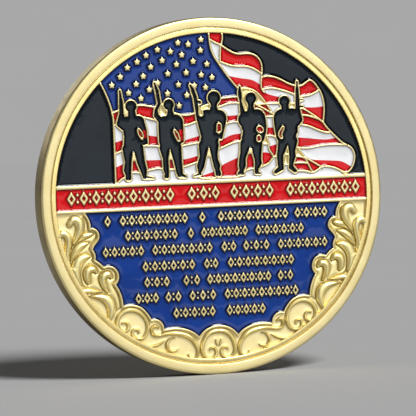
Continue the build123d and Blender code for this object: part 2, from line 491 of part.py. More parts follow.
def chained(chains, grow):
    """The capsules between neighbouring joints of each chain."""
    return [capsule(start, end, grow) for chain in chains for start, end in zip(chain, chain[1:])]


def lozenge(x, z, height):
    """An upright lozenge."""
    half = LOZENGE_WIDTH * height / 2
    with BuildLine() as edge:
        Polyline((x - half, z), (x, z + height / 2), (x + half, z), (x, z - height / 2), close=True)
    return make_face(edge.edges(), mode=Mode.PRIVATE)


def places(row):
    """Height and middle of a row of ornament, and the x of each lozenge, run by run."""
    bottom, top, runs = row
    height = top - bottom
    spaced = []
    for left, right in runs:
        count = max(1, round((right - left) / (LOZENGE_PITCH * height)))
        pitch = (right - left) / count
        spaced.append([left + pitch * (i + 0.5) for i in range(count)])
    return height, (bottom + top) / 2, spaced


def ornament(row):
    """Runs of open lozenges with a pair of beads between two of them."""
    height, middle, spaced = places(row)
    beads = []
    for run in spaced:
        for x, x_next in zip(run, run[1:]):
            beads += [((x + x_next) / 2, middle - height / 4), ((x + x_next) / 2, middle + height / 4)]
    with BuildSketch() as band:
        add([lozenge(x, middle, height) for run in spaced for x in run])
        add([lozenge(x, middle, LOZENGE_HOLE * height) for run in spaced for x in run], mode=Mode.SUBTRACT)
        with Locations(*beads):
            Circle(BEAD_RADIUS * height)
    return band.sketch


def lower_outline():
    """The lower blue field: the lobes, mirrored, closed by a straight top."""
    with BuildLine() as edge:
        for lobe in LOBES:
            Spline(*lobe)
        for lobe in LOBES:
            Spline(*[(-x, z) for x, z in lobe])
        Line((-LOBES[0][0][0], LOWER_TOP), (LOBES[0][0][0], LOWER_TOP))
    return make_face(edge.edges(), mode=Mode.PRIVATE)


def leaf(lean):
    """A laurel leaf that leaves its branch at an angle, the branch running up the sketch's Y."""
    turn = (90 + lean) * pi / 180
    return stroke([(reach * cos(turn), reach * sin(turn), width) for reach, width in LEAF])


def cells_at(cells, points):
    """The cells that hold the given points, each once."""
    found = []
    for x, z in points:
        cell = next((c for c in cells if c.is_inside(Vector(x, z, 0))), None)
        if cell is None:
            raise ValueError(f"no cell at {x}, {z}")
        if cell not in found:
            found.append(cell)
    return found


def fill(name, cells, plane=FRONT):
    """Cured enamel in the given cells, as one node, written to its file."""
    with BuildPart() as enamel:
        with BuildSketch(plane.offset(POCKET_FLOOR)):
            add(cells)
        extrude(amount=ENAMEL_TOP - POCKET_FLOOR)
    enamel.part.label = name
    export_step(enamel.part, f"parts/{name}.step")


def raised(sketch, height, plane=FRONT):
    """Struck metal over a flat shape, from the pocket floor up."""
    with BuildPart() as metal:
        with BuildSketch(plane.offset(POCKET_FLOOR)):
            add(sketch)
        extrude(amount=height - POCKET_FLOOR)
    return metal.part


os.makedirs("parts", exist_ok=True)

# Flat artwork of the obverse, above the banner

figures = [figure(body, 0) for body in FIGURES]

with BuildSketch() as scene:
    half_disc(RING_INNER, SCENE_BOTTOM, RING_INNER)
    add([figure(body, OUTLINE) for body in FIGURES], mode=Mode.SUBTRACT)
    add([line(path) for path in FLAG_LINES], mode=Mode.SUBTRACT)
    add([star(x, z, STAR_RADIUS, STAR_WAIST) for x, z in STARS], mode=Mode.SUBTRACT)

with BuildSketch() as seams:
    add(scene.sketch)
    add([line(path, SEAM) for path in WHITE_OVER_RED], mode=Mode.INTERSECT)

with BuildSketch() as cells:
    add(scene.sketch)
    add(seams.sketch, mode=Mode.SUBTRACT)
scene_cells = cells.sketch.faces()

with BuildSketch() as spills:
    for left, bottom, right, top in RED_SPILLS:
        with Locations(((left + right) / 2, (bottom + top) / 2)):
            Rectangle(right - left, top - bottom)

bare_cells = cells_at(scene_cells, BARE_CELLS)

# Cells too small to hold enamel are struck as solid metal, so no group names them.
named = list(bare_cells)
for group in (DARK_CELLS, BLUE_CELLS, RED_CELLS, WHITE_CELLS):
    for points in group.values():
        named += cells_at(scene_cells, points)
unfilled = [cell for cell in scene_cells if cell not in named]

# Flat artwork of the banner and below

with BuildSketch() as banner:
    half_disc(RING_INNER, BANNER_BOTTOM, BANNER_TOP)
    add(ornament(BANNER_ROW), mode=Mode.SUBTRACT)

lower_ornaments = [ornament(row) for row in LOWER_ROWS]

with BuildSketch() as lower_field:
    add(lower_outline())
    add(lower_ornaments, mode=Mode.SUBTRACT)

with BuildSketch() as border:
    add([line(lobe, 2 * BORDER) for lobe in LOBES])
    with Locations(*[lobe[0] for lobe in LOBES]):
        Circle(BORDER)
    mirror(about=Plane.YZ)
    add(lower_outline(), mode=Mode.SUBTRACT)

with BuildSketch() as groove:
    add([line(lobe, 2 * (BORDER + GROOVE)) for lobe in LOBES])
    with Locations(*[lobe[0] for lobe in LOBES]):
        Circle(BORDER + GROOVE)
    add(lower_outline())

scrolls = []
for depth, points in SCROLLS:
    head_x, head_z, head_width = points[0]
    with BuildSketch() as scroll:
        add(stroke(points))
        with Locations((head_x, head_z)):
            Circle(head_width / 2)
        add(groove.sketch, mode=Mode.SUBTRACT)
        mirror(about=Plane.YZ)
    scrolls.append((depth, scroll.sketch))

with BuildSketch() as scroll_ground:
    with BuildLine():
        Polyline(*SCROLL_GROUND, close=True)
    make_face()
    add(groove.sketch, mode=Mode.SUBTRACT)
    mirror(about=Plane.YZ)

# Flat artwork of the reverse

with BuildSketch() as back_band:
    Circle(BACK_BAND_OUTER)
    Circle(BACK_BAND_INNER, mode=Mode.SUBTRACT)
    band_middle = (BACK_BAND_OUTER + BACK_BAND_INNER) / 2
    with PolarLocations(band_middle, BACK_BAND_STARS, start_angle=90):
        add(star(0, 0, BACK_BAND_STAR, STAR_WAIST, 0), mode=Mode.SUBTRACT)
    with PolarLocations(band_middle, BACK_BAND_STARS, start_angle=90 + 180 / BACK_BAND_STARS):
        Circle(BACK_BEAD, mode=Mode.SUBTRACT)

with BuildSketch() as back_star:
    add(star(0, 0, BACK_STAR_RADIUS, BACK_STAR_WAIST))

with BuildSketch() as back_star_cells:
    add(star(0, 0, BACK_STAR_RADIUS - BACK_STAR_EDGE, BACK_STAR_WAIST))
    with PolarLocations(0, 5, start_angle=90 + 36):
        Rectangle(BACK_STAR_RADIUS, WALL, align=(Align.MIN, Align.CENTER), mode=Mode.SUBTRACT)

with BuildSketch() as laurel:
    for i in range(LAUREL_PAIRS):
        with PolarLocations(LAUREL_RADIUS, 1, start_angle=LAUREL_START + LAUREL_STEP * i):
            for side_angle in (-LAUREL_LEAN, LAUREL_LEAN):
                add(leaf(side_angle))
    mirror(about=Plane.YZ)

# The flat shapes of the metal that stands above the sunken floors

with BuildSketch() as front_walls:
    half_disc(LEDGE_INNER, LOWER_TOP, LEDGE_INNER)
    add([scene.sketch, *figures, banner.sketch], mode=Mode.SUBTRACT)
    add([border.sketch, *lower_ornaments, *unfilled])

with BuildSketch() as front_field:
    half_disc(LEDGE_INNER, -LEDGE_INNER, LOWER_TOP)
    add(lower_outline(), mode=Mode.SUBTRACT)

with BuildSketch() as back_walls:
    Circle(LEDGE_INNER)
    add(back_band.sketch, mode=Mode.SUBTRACT)
    Circle(BACK_FIELD_RADIUS, mode=Mode.SUBTRACT)
    add(back_star.sketch)
    add(back_star_cells.sketch, mode=Mode.SUBTRACT)

with BuildSketch() as back_field:
    Circle(BACK_FIELD_RADIUS)
    add(back_star.sketch, mode=Mode.SUBTRACT)

# The blank, and the metal struck up from its sunken floors

with BuildPart() as coin_body:
    with BuildSketch(Plane.XY) as section:
        with BuildLine():
            Polyline(
                (0, -POCKET_FLOOR),
                (LEDGE_INNER, -POCKET_FLOOR),
                (LEDGE_INNER, -LEDGE_TOP),
                (RIM_INNER, -LEDGE_TOP),
                (RIM_INNER, -RIM_TOP),
                (COIN_DIAMETER / 2, -RIM_TOP),
                (COIN_DIAMETER / 2, RIM_TOP),
                (RIM_INNER, RIM_TOP),
                (RIM_INNER, LEDGE_TOP),
                (LEDGE_INNER, LEDGE_TOP),
                (LEDGE_INNER, POCKET_FLOOR),
                (0, POCKET_FLOOR),
                close=True,
            )
        make_face()
        fillet(section.vertices().group_by(Axis.X)[-1], EDGE_ROUNDING)
    revolve(axis=Axis.Y)
    add([
        raised(front_walls.sketch, WALL_TOP),
        raised(front_field.sketch, FIELD),
        raised(bare_cells, BARE_FLOOR),
        raised(back_walls.sketch, WALL_TOP, BACK),
        raised(back_field.sketch, FIELD, BACK),
        raised(laurel.sketch, SCROLL_TOP, BACK),
        raised(scroll_ground.sketch, SCROLL_GROUND_TOP),
        *[raised(scroll, SCROLL_TOP - SCROLL_STEP * depth) for depth, scroll in scrolls],
    ])
coin_body.part.label = "coin_body"
export_step(coin_body.part, "parts/coin_body.step")

# The enamel fills

for name, points in {**DARK_CELLS, **BLUE_CELLS}.items():
    fill(name, cells_at(scene_cells, points))

for name, points in RED_CELLS.items():
    fill(name, cells_at(scene_cells, points))

for i, body in enumerate(figures):
    with BuildSketch() as black:
        add(body)
        add(spills.sketch, mode=Mode.SUBTRACT)
    fill(f"enamel_soldier_{i + 1}", black.sketch)

with BuildSketch() as red_spill:
    add(figures)
    add(spills.sketch, mode=Mode.INTERSECT)
fill("enamel_red_spills", red_spill.sketch)

unclaimed = list(seams.sketch.faces())
for name, points in WHITE_CELLS.items():
    white = cells_at(scene_cells, points)
    laps = [lap for lap in unclaimed if any(lap.distance_to(cell) < TOUCHING for cell in white)]
    unclaimed = [lap for lap in unclaimed if lap not in laps]
    fill(name, white + laps)

fill("enamel_banner", banner.sketch)
fill("enamel_lower_field", lower_field.sketch)
fill("enamel_back_band", back_band.sketch, BACK)
fill("enamel_back_star", back_star_cells.sketch, BACK)
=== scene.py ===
"""Challenge coin: struck, gold plated metal with glossy soft enamel in its sunken cells.

Outlines come from the flat tops of the CAD solids. Each flat top is cut into rings that follow its
edge, and the height of every point depends on how far it is from that edge: raised lines are rounded
over, enamel climbs the walls around it, and scrolls swell up to their middle.
Flat shapes are (u, v) in millimetres: u runs right and v up, for someone looking at that face.
"""
import json
import math

import bpy
import numpy as np
from mathutils import Matrix, Vector
from mathutils.bvhtree import BVHTree
from mathutils.geometry import delaunay_2d_cdt
from mathutils.kdtree import KDTree

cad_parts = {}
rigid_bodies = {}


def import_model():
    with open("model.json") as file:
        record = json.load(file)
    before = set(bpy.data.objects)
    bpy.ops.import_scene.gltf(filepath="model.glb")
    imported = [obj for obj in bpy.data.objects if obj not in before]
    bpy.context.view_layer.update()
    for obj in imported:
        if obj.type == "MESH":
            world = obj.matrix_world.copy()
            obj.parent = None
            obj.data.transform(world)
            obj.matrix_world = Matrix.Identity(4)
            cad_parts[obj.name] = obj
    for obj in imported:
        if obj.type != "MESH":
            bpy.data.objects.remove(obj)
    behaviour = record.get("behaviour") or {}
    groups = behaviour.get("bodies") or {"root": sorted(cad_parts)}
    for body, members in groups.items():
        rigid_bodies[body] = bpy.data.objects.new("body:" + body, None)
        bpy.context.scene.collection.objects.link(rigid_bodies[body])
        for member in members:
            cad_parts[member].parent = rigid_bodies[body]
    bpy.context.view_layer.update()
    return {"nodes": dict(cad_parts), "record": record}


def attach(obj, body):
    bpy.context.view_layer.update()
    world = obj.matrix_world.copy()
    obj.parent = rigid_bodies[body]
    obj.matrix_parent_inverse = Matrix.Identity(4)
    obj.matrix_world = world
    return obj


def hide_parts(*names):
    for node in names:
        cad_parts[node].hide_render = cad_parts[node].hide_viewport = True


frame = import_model()
nodes = frame["nodes"]

MM = 0.001
FRONT = -1  # the obverse looks toward -Y
BACK = 1

# Heights above the mid-plane, mm, as in the CAD part
RIM_TOP = 1.50
WALL_TOP = 1.35
LEDGE_TOP = 1.20
ENAMEL_TOP = 1.15
BARE_FLOOR = 1.05
FIELD = 0.95
POCKET_FLOOR = 0.80
SCROLL_GROUND = 1.10
SCROLL_TOPS = (1.33, 1.30, 1.27)
LEVEL_TOLERANCE = 0.004

COIN_RADIUS = 20.0
LEDGE_INNER = 18.78
RIM_INNER = 18.88
RING_INNER = 18.25


# Flat shapes from the CAD


def flat_top(node, level, face):
    """Corner points and triangles of the part of a node that lies at one height on one face."""
    mesh = nodes[node].data
    mesh.calc_loop_triangles()
    co = np.empty(len(mesh.vertices) * 3)
    mesh.vertices.foreach_get("co", co)
    co = co.reshape(-1, 3) / MM
    tri = np.empty(len(mesh.loop_triangles) * 3, dtype=int)
    mesh.loop_triangles.foreach_get("vertices", tri)
    tri = tri.reshape(-1, 3)
    tri = tri[np.all(np.abs(face * co[tri, 1] - level) < LEVEL_TOLERANCE, axis=1)]
    flat = np.column_stack((-face * co[:, 0], co[:, 2]))
    _, first, where = np.unique(np.round(flat * 2000), axis=0, return_index=True, return_inverse=True)
    tri = where.reshape(-1)[tri]
    whole = (tri[:, 0] != tri[:, 1]) & (tri[:, 1] != tri[:, 2]) & (tri[:, 2] != tri[:, 0])
    return flat[first], tri[whole]


def islands(points, tri):
    """The connected parts of a flat shape, each as its own points and triangles."""
    parent = list(range(len(points)))

    def root(i):
        while parent[i] != i:
            parent[i] = parent[parent[i]]
            i = parent[i]
        return i

    for a, b, c in tri.tolist():
        parent[root(a)] = root(c)
        parent[root(b)] = root(c)
    roots = np.array([root(i) for i in tri[:, 0].tolist()], dtype=int)
    parts = []
    for r in np.unique(roots):
        used, local = np.unique(tri[roots == r], return_inverse=True)
        parts.append((points[used], local.reshape(-1, 3)))
    return parts


def border(tri):
    """The directed edges that only one triangle has. The shape is on their left."""
    edges = np.concatenate((tri[:, [0, 1]], tri[:, [1, 2]], tri[:, [2, 0]])).tolist()
    have = {(a, b) for a, b in edges}
    return np.array([(a, b) for a, b in have if (b, a) not in have])


def cut(points, edges, step):
    """The same outline with no edge longer than a step."""
    grown = points.tolist()
    short = []
    for a, b in edges.tolist():
        start, end = points[a], points[b]
        count = max(1, math.ceil(math.dist(start, end) / step))
        chain = [a]
        for k in range(1, count):
            chain.append(len(grown))
            grown.append((start + (end - start) * k / count).tolist())
        chain.append(b)
        short += list(zip(chain, chain[1:]))
    return np.array(grown), np.array(short)


def tree_of(points):
    """A search tree over flat points."""
    tree = KDTree(len(points))
    for i, (u, v) in enumerate(points.tolist()):
        tree.insert((u, v, 0), i)
    tree.balance()
    return tree


def reach(tree, points):
    """Distance from each point to the nearest point of the tree."""
    return np.array([tree.find((u, v, 0))[2] for u, v in points.tolist()])


SAMPLE = 0.025  # spacing of outline samples, mm
KEPT_SHARE = 0.88  # a ring's point is dropped when another edge is nearer than this share of its offset
MERGED_SHARE = 0.3  # points of a ring closer than this share of the step are merged


def outline_tree(shapes):
    """A search tree over the edges of flat shapes, sampled finely."""
    samples = []
    for points, tri in shapes:
        used, edges = cut(points, border(tri), SAMPLE)
        samples.append(used[np.unique(edges)])
    return tree_of(np.concatenate(samples))


def triangulate(points, edges, keep):
    """A triangle mesh of the points that respects the edges, without what lies outside the shape."""
    corners = [Vector(p) for p in points.tolist()]
    flat, _, faces, _, _, _ = delaunay_2d_cdt(corners, edges.tolist(), [], 1, 1e-6)
    flat = np.array(flat)
    faces = np.array([f for f in faces if len(f) == 3], dtype=int)
    middle = flat[faces].mean(axis=1)
    inside = [keep.ray_cast((u, v, 1), (0, 0, -1))[0] is not None for u, v in middle.tolist()]
    faces = faces[np.array(inside, dtype=bool)]
    a, b, c = flat[faces[:, 0]], flat[faces[:, 1]], flat[faces[:, 2]]
    turn = (b[:, 0] - a[:, 0]) * (c[:, 1] - a[:, 1]) - (b[:, 1] - a[:, 1]) * (c[:, 0] - a[:, 0])
    faces[turn < 0] = faces[turn < 0][:, ::-1]
    return flat, faces


def relief(shape, face, height, floor, rings, step=0.12):
    """A closed solid over a flat shape: top heights from a function of its points, sides, and a flat floor.

    Returns vertices in metres, faces, and how many faces at the start of the list are on top."""
    points, tri = shape
    keep = BVHTree.FromPolygons([(u, v, 0) for u, v in points.tolist()], tri.tolist())
    points, edges = cut(points, border(tri), step)
    used, local = np.unique(edges, return_inverse=True)
    points = points[used]
    edges = local.reshape(-1, 2)
    along = points[edges[:, 1]] - points[edges[:, 0]]
    inward = np.column_stack((-along[:, 1], along[:, 0])) / np.maximum(np.hypot(*along.T), 1e-9)[:, None]
    normal = np.zeros_like(points)
    np.add.at(normal, edges[:, 0], inward)
    np.add.at(normal, edges[:, 1], inward)
    normal /= np.maximum(np.hypot(*normal.T), 1e-9)[:, None]
    near = outline_tree([shape])
    grown = [points]
    for ring in rings:
        offset = points + normal * ring
        offset = offset[reach(near, offset) > KEPT_SHARE * ring]
        if len(offset):
            _, first = np.unique(np.round(offset / (MERGED_SHARE * step)), axis=0, return_index=True)
            grown.append(offset[first])
    top, top_faces = triangulate(np.concatenate(grown), edges, keep)
    base, base_faces = triangulate(points, edges, keep)
    levels = height(top, near)
    vertices = [(-face * u, face * h, v) for (u, v), h in zip(top.tolist(), levels.tolist())]
    vertices += [(-face * u, face * floor, v) for u, v in base.tolist()]
    rim = border(top_faces)
    place = {tuple(p): i for i, p in enumerate(np.round(base, 5).tolist())}
    below = [place.get(tuple(p)) for p in np.round(top, 5).tolist()]
    shift = len(top)
    faces = top_faces.tolist()
    for a, b in rim.tolist():
        if below[a] is not None and below[b] is not None:
            faces.append([b, a, shift + below[a], shift + below[b]])
    faces += (base_faces[:, ::-1] + shift).tolist()
    return np.array(vertices) * MM, faces, len(top_faces)


def piece(name, solids, material, replaced, sharp=40):
    """One object from several closed solids."""
    vertices = []
    faces = []
    for points, solid_faces, _ in solids:
        shift = len(vertices)
        vertices += points.tolist()
        faces += [[i + shift for i in f] for f in solid_faces]
    mesh = bpy.data.meshes.new(name)
    mesh.from_pydata(vertices, [], faces)
    mesh.polygons.foreach_set("use_smooth", [True] * len(mesh.polygons))
    mesh.set_sharp_from_angle(angle=math.radians(sharp))
    mesh.materials.append(material)
    obj = bpy.data.objects.new(name, mesh)
    bpy.context.scene.collection.objects.link(obj)
    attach(obj, "root")
    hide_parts(*replaced)
    return obj


def store_shade_mask(obj, tree, face, fall):
    """Stores on each point how near it is to a raised line: 1 against it, falling off with distance.
    Materials use it as the mask for painted shade.
    """
    co = np.empty(len(obj.data.vertices) * 3)
    obj.data.vertices.foreach_get("co", co)
    co = co.reshape(-1, 3) / MM
    distance = reach(tree, np.column_stack((-face * co[:, 0], co[:, 2])))
    layer = obj.data.attributes.new("edge", "FLOAT", "POINT")
    layer.data.foreach_set("value", np.exp(-distance / fall))


# Materials


def nodes_of(name):
    """A new material, its node tree and its main shader."""
    material = bpy.data.materials.new(name)
    material.use_nodes = True
    tree = material.node_tree
    return material, tree, tree.nodes["Principled BSDF"]


def noise(tree, scale, detail=2.0):
    """Noise fixed to the object, its scale in features per metre."""
    where = tree.nodes.new("ShaderNodeTexCoord")
    texture = tree.nodes.new("ShaderNodeTexNoise")
    texture.inputs["Scale"].default_value = scale
    texture.inputs["Detail"].default_value = detail
    tree.links.new(where.outputs["Object"], texture.inputs["Vector"])
    return texture.outputs["Fac"]


def blended(tree, amount, first, second):
    """A colour between two others."""
    mix = tree.nodes.new("ShaderNodeMix")
    mix.data_type = "RGBA"
    for socket, value in ((mix.inputs[0], amount), (mix.inputs[6], first), (mix.inputs[7], second)):
        if isinstance(value, tuple):
            socket.default_value = (*value, 1.0)
        else:
            tree.links.new(value, socket)
    return mix.outputs[2]


def spread(tree, value, low, high, out_low, out_high):
    """A value mapped from one range to another, and clamped."""
    ramp = tree.nodes.new("ShaderNodeMapRange")
    tree.links.new(value, ramp.inputs["Value"])
    for socket, number in zip(ramp.inputs[1:5], (low, high, out_low, out_high)):
        socket.default_value = number
    return ramp.outputs["Result"]


def bumped(tree, shader, height, strength, distance):
    """Fine relief on a shader's normal."""
    bump = tree.nodes.new("ShaderNodeBump")
    bump.inputs["Strength"].default_value = strength
    bump.inputs["Distance"].default_value = distance
    tree.links.new(height, bump.inputs["Height"])
    tree.links.new(bump.outputs["Normal"], shader.inputs["Normal"])


def near_edge(tree):
    """The stored nearness to raised lines, which masks the painted shade."""
    layer = tree.nodes.new("ShaderNodeAttribute")
    layer.attribute_name = "edge"
    return layer.outputs["Fac"]


def gold(name, bright, deep, roughness, grain, grain_depth, painted_recess_shade=0.0):
    """Gold plate: metal with fine grain, patchy tone and, where asked, painted shade near its edges and in
    its recesses.
    """
    material, tree, shader = nodes_of(name)
    shader.inputs["Metallic"].default_value = 1.0
    tone = blended(tree, spread(tree, noise(tree, 420.0), 0.35, 0.65, 0.0, 1.0), bright, deep)
    # painted shade: darker brown near raised lines and recess edges, standing in for shadow and occlusion
    if painted_recess_shade:
        shade = spread(tree, near_edge(tree), 0.3, 1.0, 0.0, painted_recess_shade)
        tone = blended(tree, shade, tone, RECESS_SHADE_COLOR)
    tree.links.new(tone, shader.inputs["Base Color"])
    patchy = spread(tree, noise(tree, 900.0), 0.3, 0.7, roughness - 0.05, roughness + 0.05)
    tree.links.new(patchy, shader.inputs["Roughness"])
    bumped(tree, shader, noise(tree, grain, 3.0), 1.0, grain_depth)
    return material


def enamel(name, color, deep, gloss=0.5):
    """Soft enamel: glossy and slightly wavy, with painted shade darkening it near the raised lines."""
    material, tree, shader = nodes_of(name)
    shader.inputs["Specular IOR Level"].default_value = gloss
    patch = blended(tree, spread(tree, noise(tree, 300.0), 0.35, 0.65, 0.0, 0.18), color, deep)
    # painted shade: the dark band along raised lines, standing in for shadow and dark reflections in the
    # curved enamel
    painted_wall_shade = spread(tree, near_edge(tree), 0.30, 0.78, 0.0, 0.95)
    tree.links.new(blended(tree, painted_wall_shade, patch, deep), shader.inputs["Base Color"])
    tree.links.new(spread(tree, noise(tree, 1500.0), 0.3, 0.7, 0.04, 0.09), shader.inputs["Roughness"])
    bumped(tree, shader, noise(tree, 700.0), 1.0, 0.000012)
    return material


# colour of the painted shade in gold recesses
RECESS_SHADE_COLOR = (0.22, 0.145, 0.03)

# Where a gold has a last number, it is the strength of its painted shade along its edges.
SATIN = gold("satin_gold", (0.90, 0.78, 0.41), (0.86, 0.73, 0.36), 0.48, 9000.0, 0.000006)
RELIEF = gold("relief_gold", (0.97, 0.84, 0.45), (0.92, 0.78, 0.39), 0.46, 7000.0, 0.000004)
FIELD_GOLD = gold("field_gold", (0.97, 0.85, 0.46), (0.93, 0.80, 0.40), 0.54, 9000.0, 0.000008, 0.50)
POLISHED = gold("polished_gold", (0.86, 0.70, 0.30), (0.80, 0.63, 0.25), 0.26, 5000.0, 0.000002)
# painted shade: the side wall's gold is made dark and brown to stand for the dark surroundings it reflects
SHADED_SIDE_GOLD = gold("side_gold_painted_shade", (0.40, 0.31, 0.12), (0.30, 0.23, 0.08), 0.42, 3000.0, 0.000006)
SCROLL_GOLD = gold("scroll_gold", (0.96, 0.83, 0.41), (0.91, 0.78, 0.35), 0.48, 7000.0, 0.000004, 0.65)

ENAMELS = {
    "slate_enamel": enamel("slate", (0.011, 0.019, 0.029), (0.0005, 0.0005, 0.0006), 0.16),
    "black_enamel": enamel("black", (0.011, 0.018, 0.025), (0.0005, 0.0005, 0.0006), 0.16),
    "blue_enamel": enamel("blue", (0.006, 0.040, 0.240), (0.001, 0.002, 0.018), 0.22),
    "red_enamel": enamel("red", (0.620, 0.005, 0.008), (0.100, 0.001, 0.002), 0.20),
    "white_enamel": enamel("white", (0.800, 0.805, 0.820), (0.320, 0.320, 0.340), 0.45),
}

# Shapes on each face

wall_shapes = {face: islands(*flat_top("coin_body", WALL_TOP, face)) for face in (FRONT, BACK)}
wall_trees = {face: outline_tree(wall_shapes[face]) for face in (FRONT, BACK)}

ROUNDING = 0.085
MENISCUS = 0.15
MENISCUS_FALL = 0.19
MENISCUS_DIP = 0.03  # how far the middle of a cell sinks as the enamel cures
SUNK = 0.02  # how far raised metal stays below the turned ring's own rounding
RING_OVERLAP = 0.02  # raised metal starts to pass under the ring this far inside it


def rounded(points, near):
    """Raised metal: flat, with its edges rounded over, and sunk where the turned ring lies over it."""
    drop = np.clip(1 - reach(near, points) / ROUNDING, 0, 1)
    drop[np.hypot(*points.T) > RING_INNER - RING_OVERLAP] = 1
    return WALL_TOP - ROUNDING * (1 - np.sqrt(1 - drop**2)) - SUNK * (drop == 1)


def meniscus(face):
    """Enamel: level in the middle of a cell, climbing the raised lines around it."""

    def height(points, near):
        climb = MENISCUS * np.exp(-reach(wall_trees[face], points) / MENISCUS_FALL)
        return ENAMEL_TOP - MENISCUS_DIP + climb

    return height


def level_at(level, climb):
    """Sunken metal: level, with a soft rise at its edge."""

    def height(points, near):
        return level + climb * np.exp(-reach(near, points) / 0.12)

    return height


def sloped(level, foot):
    """Metal between two levels: it rises from its edge in a soft curve."""

    def height(points, near):
        return level - (level - foot) * np.exp(-reach(near, points) / 0.15)

    return height


SWELL_WIDTH = 0.5


def swollen(foot, crest):
    """Scroll relief: an arched section, higher where the stroke is wider."""

    def height(points, near):
        far = np.clip(reach(near, points) / SWELL_WIDTH, 0, 1)
        return foot + (crest - foot) * np.sqrt(1 - (1 - far) ** 2)

    return height


# Distances from the edge at which each kind of surface gets a ring of points, mm
WALL_RINGS = (0.012, 0.035, 0.075)
ENAMEL_RINGS = (0.03, 0.07, 0.12, 0.19, 0.30, 0.45)
SCROLL_RINGS = (0.02, 0.06, 0.12, 0.20, 0.29, 0.39, 0.50)
FIELD_RINGS = (0.04, 0.1, 0.2, 0.35)
BARE_RINGS = (0.04, 0.1, 0.2)
GROUND_RINGS = (0.05, 0.12, 0.22, 0.35)

CREST = RIM_TOP - 0.04  # top of the highest scrolls, mm
CREST_STEP = 0.03  # how much lower each further set is
FACE_NAMES = {FRONT: "front", BACK: "back"}

for face in (FRONT, BACK):
    connected = max(wall_shapes[face], key=lambda shape: len(shape[0]))
    loose = [s for s in wall_shapes[face] if s is not connected]
    for kind, shapes in (("lines", [connected]), ("ornaments", loose)):
        solids = [relief(s, face, rounded, POCKET_FLOOR, WALL_RINGS) for s in shapes]
        piece(f"raised_{kind}_{FACE_NAMES[face]}", solids, RELIEF, ["coin_body"])
    field_shapes = islands(*flat_top("coin_body", FIELD, face))
    solids = [relief(s, face, level_at(FIELD, 0.05), POCKET_FLOOR, FIELD_RINGS) for s in field_shapes]
    field = piece(f"field_{FACE_NAMES[face]}", solids, FIELD_GOLD, ["coin_body"])
    store_shade_mask(field, outline_tree(field_shapes), face, 0.12)

solids = [
    relief(s, FRONT, level_at(BARE_FLOOR, 0.10), POCKET_FLOOR, BARE_RINGS)
    for s in islands(*flat_top("coin_body", BARE_FLOOR, FRONT))
]
piece("bare_cells", solids, RELIEF, ["coin_body"])

for i, level in enumerate(SCROLL_TOPS):
    for face in (FRONT, BACK):
        points, tri = flat_top("coin_body", level, face)
        if len(tri):
            solids = [
                relief(s, face, swollen(FIELD, CREST - CREST_STEP * i), POCKET_FLOOR, SCROLL_RINGS)
                for s in islands(points, tri)
            ]
            name = f"scrolls_{FACE_NAMES[face]}_{i + 1}"
            scrolls = piece(name, solids, SCROLL_GOLD, ["coin_body"])
            store_shade_mask(scrolls, outline_tree([(points, tri)]), face, 0.10)

grounds = islands(*flat_top("coin_body", SCROLL_GROUND, FRONT))
slope = sloped(SCROLL_GROUND, FIELD)
solids = [relief(s, FRONT, slope, POCKET_FLOOR, GROUND_RINGS) for s in grounds]
ground = piece("scroll_ground", solids, SCROLL_GOLD, ["coin_body"])
store_shade_mask(ground, outline_tree(grounds), FRONT, 0.12)

# How far the painted shade, a dark band along the raised lines, reaches into each enamel, mm
PAINTED_SHADE_REACH = {
    "slate_enamel": 0.55,
    "black_enamel": 0.38,
    "blue_enamel": 0.34,
    "red_enamel": 0.20,
    "white_enamel": 0.12,
}
slots = {s["node"]: s["material_slot"] for s in frame["record"]["subparts"]}
for node in sorted(nodes):
    if node == "coin_body":
        continue
    face = BACK if node.startswith("enamel_back") else FRONT
    shapes = islands(*flat_top(node, ENAMEL_TOP, face))
    solids = [relief(s, face, meniscus(face), POCKET_FLOOR, ENAMEL_RINGS) for s in shapes]
    fill = piece(f"cured_{node}", solids, ENAMELS[slots[node]], [node])
    store_shade_mask(fill, wall_trees[face], face, PAINTED_SHADE_REACH[slots[node]])

# Rim, side wall and core


def turned(name, profile, material, segments=720):
    """A closed ring or disc turned about the coin's axis from (radius, height) points."""
    count = len(profile)
    vertices = []
    for k in range(segments):
        angle = 2 * math.pi * k / segments
        for r, y in profile:
            vertices.append((r * math.cos(angle) * MM, y * MM, r * math.sin(angle) * MM))
    faces = []
    for k in range(segments):
        here = k * count
        there = (k + 1) % segments * count
        for j in range(count):
            after = (j + 1) % count
            faces.append([here + j, here + after, there + after, there + j])
    return piece(name, [(np.array(vertices), faces, 0)], material, ["coin_body"], 50)


def arc(center_r, center_y, radius, start, end, steps):
    """Points on an arc of the profile, angles in degrees from outward."""
    points = []
    for k in range(steps + 1):
        angle = math.radians(start + (end - start) * k / steps)
        points.append((center_r + radius * math.cos(angle), center_y + radius * math.sin(angle)))
    return points


EDGE_ROUNDING = 0.35
INNER_ROUNDING = 0.10
STEP_SLOPE = 0.03
SIDE_BAND = 0.06  # the side wall's painted shade starts this far inside the coin's radius
FACET_COVER = 0.015  # the turned ring stands over the facets of the struck metal's circles
ring_inside = RING_INNER - FACET_COVER
ring_outside = LEDGE_INNER + FACET_COVER / 2
half = arc(ring_inside + ROUNDING, WALL_TOP - ROUNDING, ROUNDING, 180, 90, 6)
half += arc(ring_outside - ROUNDING, WALL_TOP - ROUNDING, ROUNDING, 90, 0, 6)
half += [(ring_outside, LEDGE_TOP), (RIM_INNER - STEP_SLOPE, LEDGE_TOP)]
half += arc(RIM_INNER + INNER_ROUNDING, RIM_TOP - INNER_ROUNDING, INNER_ROUNDING, 180, 90, 5)
half += arc(COIN_RADIUS - EDGE_ROUNDING, RIM_TOP - EDGE_ROUNDING, EDGE_ROUNDING, 90, 0, 8)
profile = half + [(r, -y) for r, y in reversed(half)]
rim = turned("rim", profile, SATIN)
rim.data.materials.append(SHADED_SIDE_GOLD)
rim.data.materials.append(POLISHED)
